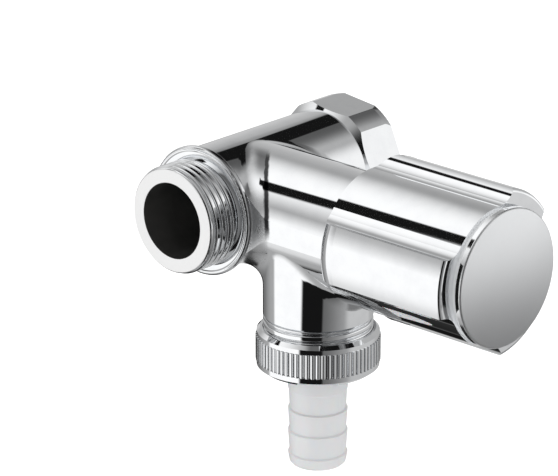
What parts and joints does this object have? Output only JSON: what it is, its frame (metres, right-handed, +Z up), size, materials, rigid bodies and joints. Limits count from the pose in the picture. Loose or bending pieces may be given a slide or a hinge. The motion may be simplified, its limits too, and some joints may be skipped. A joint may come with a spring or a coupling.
{
  "type": "side connection valve",
  "caption": "Chromed wall tee with a screw socket at the back, a threaded spout at the front and a shut-off side branch with lobed handle, check valve and barbed hose outlet.",
  "frame": {"origin": "centre of the back face of the hexagonal end, at the mouth of the inlet socket", "axes": "+Y back to the wall along the main tube, +X along the branch towards the handle, +Z up; the hose outlet points to -Z"},
  "size_m": [0.0994, 0.0643, 0.0818],
  "materials": {
    "chrome_body": "mirror-polished chrome on cast brass",
    "chrome_handle": "mirror-polished chrome",
    "satin_cap": "fine satin metal",
    "brass": "turned brass",
    "steel": "plain stainless steel",
    "fibre_seal": "red-brown fibre gasket",
    "black_rubber": "black rubber",
    "grey_plastic": "moulded plastic",
    "nozzle_plastic": "milky light grey moulded plastic"
  },
  "bodies": {
    "valve": {"valve_body": "chrome_body", "inlet_gasket": "fibre_seal", "headwork_body": "brass", "headwork_seal": "fibre_seal", "spindle_thrust_washer": "brass", "check_valve_cage": "grey_plastic", "check_valve_o_ring": "black_rubber", "check_valve_spring": "steel"},
    "handle": {"spindle": "brass", "spindle_o_ring_inner": "black_rubber", "spindle_o_ring_outer": "black_rubber", "spindle_clip": "steel", "handle_adapter": "grey_plastic", "handle_grip": "chrome_handle", "handle_screw": "steel", "handle_cap": "satin_cap"},
    "plunger": {"seat_plunger": "brass", "seat_washer": "black_rubber", "washer_screw": "steel"},
    "hose_tail": {"hose_nozzle": "nozzle_plastic", "outlet_gasket": "black_rubber"},
    "nut": {"union_nut": "chrome_body"},
    "check_poppet": {"check_valve_poppet": "grey_plastic"}
  },
  "joints": [
    {"name": "handle_turn", "type": "hinge", "parent": "valve", "child": "handle", "pos_m": [0.06, -0.0397, 0], "axis": [1, 0, 0], "range_deg": [0, 900]},
    {"name": "plunger_slide", "type": "slide", "parent": "valve", "child": "plunger", "axis": [1, 0, 0], "range_m": [0, 0.00376]},
    {"name": "hose_tail_slide", "type": "slide", "parent": "valve", "child": "hose_tail", "axis": [0, 0, -1], "range_m": [0, 0.00726]},
    {"name": "union_nut_turn", "type": "hinge", "parent": "hose_tail", "child": "nut", "pos_m": [0.0245, -0.0397, -0.0317], "axis": [0, 0, -1], "range_deg": [0, 1440]},
    {"name": "check_poppet_slide", "type": "slide", "parent": "valve", "child": "check_poppet", "axis": [0, 0, -1], "range_m": [0, 0.0022], "stiffness_N_per_m": 60, "springref_m": -0.002, "deforming": ["check_valve_spring"]}
  ],
  "couplings": [
    {"joint": "plunger_slide", "follows": "handle_turn", "m_per_rad": 0.00023873},
    {"joint": "hose_tail_slide", "follows": "union_nut_turn", "m_per_rad": 0.00028871}
  ]
}
